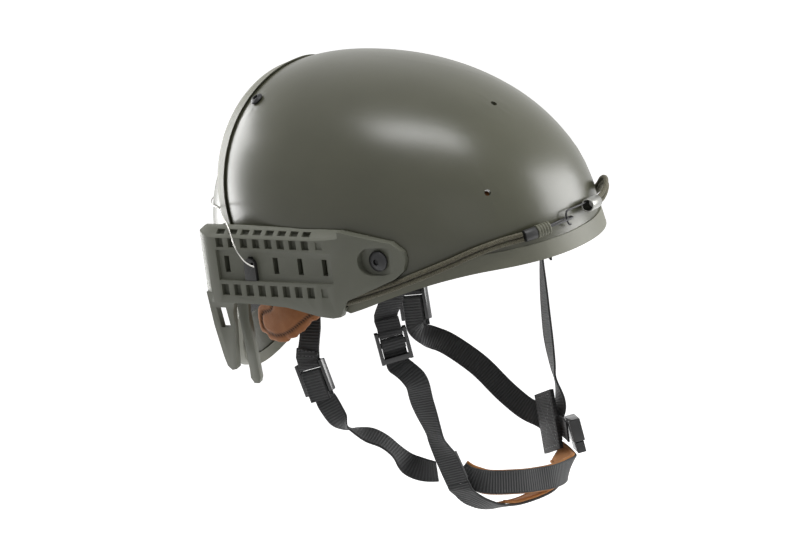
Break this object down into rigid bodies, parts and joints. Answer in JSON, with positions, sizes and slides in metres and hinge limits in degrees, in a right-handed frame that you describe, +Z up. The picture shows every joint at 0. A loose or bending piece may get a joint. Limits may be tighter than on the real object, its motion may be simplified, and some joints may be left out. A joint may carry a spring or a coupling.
{
  "type": "combat helmet",
  "caption": "Two-shell head protection with slotted side rails, brow bungee, padded liner and a four-point chin strap with ladder locks and a side-release buckle.",
  "frame": {"origin": "on the helmet's middle plane, at the level and length where the shell is widest, where the head sits", "axes": "+X forward to the brow, +Y to the wearer's left, +Z up through the crown"},
  "size_m": [0.2961, 0.239, 0.3167],
  "materials": {
    "shell": "matte olive grey, fine texture",
    "rail": "matte grey green",
    "trim": "matte pale grey green",
    "dark_steel": "blackened",
    "steel": "satin",
    "cord": "woven, tan olive",
    "sleeve": "matte black",
    "plug": "matte dark grey",
    "foam": "brushed black cloth over foam",
    "suede": "tan suede",
    "hook_disc": "black hook tape",
    "web": "black ribbed webbing",
    "buckle": "glossy black"
  },
  "bodies": {
    "helmet": {"front_shell": "shell", "rear_shell": "shell", "brow_trim": "trim", "seam_trim": "trim", "nape_trim": "trim", "right_rail": "rail", "left_rail": "rail", "rail_bolts": "dark_steel", "rail_nuts": "steel", "crown_bolts": "dark_steel", "crown_spacers": "steel", "crown_nuts": "steel", "right_bungee": "cord", "left_bungee": "cord", "bungee_sleeve": "sleeve", "bungee_collar": "trim", "loop_wire": "dark_steel", "bungee_ferrule": "steel", "back_wire": "steel", "right_wire_plug": "plug", "left_wire_plug": "plug", "brow_pad": "foam", "crown_pad": "foam", "right_side_pad": "suede", "left_side_pad": "suede", "nape_pad": "foam", "pad_discs": "hook_disc", "right_front_anchor": "web", "left_front_anchor": "web", "right_rear_anchor": "web", "left_rear_anchor": "web", "anchor_screws": "dark_steel"},
    "hook": {"hook_wire": "dark_steel"},
    "right_front_lock": {"right_front_lock": "buckle"},
    "left_front_lock": {"left_front_lock": "buckle"},
    "right_rear_lock": {"right_rear_lock": "buckle"},
    "left_rear_lock": {"left_rear_lock": "buckle"},
    "harness": {"right_front_strap": "web", "left_front_strap": "web", "right_rear_strap": "web", "left_rear_strap": "web", "right_junction": "web", "left_junction": "web", "upper_chin_band": "web", "lower_chin_band": "web", "upper_chin_lining": "suede", "lower_chin_lining": "suede", "buckle_socket": "buckle"},
    "buckle_plug": {"buckle_plug": "buckle"}
  },
  "joints": [
    {"name": "harness_swing", "type": "hinge", "parent": "helmet", "child": "harness", "pos_m": [0.0465, 0, -0.066], "axis": [0, 1, 0], "range_deg": [-20, 20], "deforming": ["right_front_strap", "left_front_strap", "right_rear_strap", "left_rear_strap"]},
    {"name": "right_front_lock_tip", "type": "hinge", "parent": "helmet", "child": "right_front_lock", "pos_m": [0.04138, -0.08624, -0.06669], "axis": [-0.7491, -0.6509, -0.1231], "range_deg": [0, 40]},
    {"name": "left_front_lock_tip", "type": "hinge", "parent": "helmet", "child": "left_front_lock", "pos_m": [0.05988, 0.08414, -0.03889], "axis": [0.6198, -0.7739, 0.1301], "range_deg": [0, 40]},
    {"name": "right_rear_lock_tip", "type": "hinge", "parent": "helmet", "child": "right_rear_lock", "pos_m": [-0.02952, -0.0844, -0.09292], "axis": [-0.9642, -0.1016, -0.2451], "range_deg": [0, 40]},
    {"name": "left_rear_lock_tip", "type": "hinge", "parent": "helmet", "child": "left_rear_lock", "pos_m": [-0.05203, 0.07903, -0.0897], "axis": [0.9917, 0.0915, 0.09], "range_deg": [0, 40]},
    {"name": "hook_lift", "type": "hinge", "parent": "helmet", "child": "hook", "pos_m": [0.14928, 0.00588, 0.0007], "axis": [-1, 0, 0], "range_deg": [0, 40]},
    {"name": "buckle_pull", "type": "slide", "parent": "harness", "child": "buckle_plug", "axis": [0.1483, 0, -0.9889], "range_m": [0, 0.014], "deforming": ["upper_chin_band", "lower_chin_band", "upper_chin_lining", "lower_chin_lining"]}
  ]
}
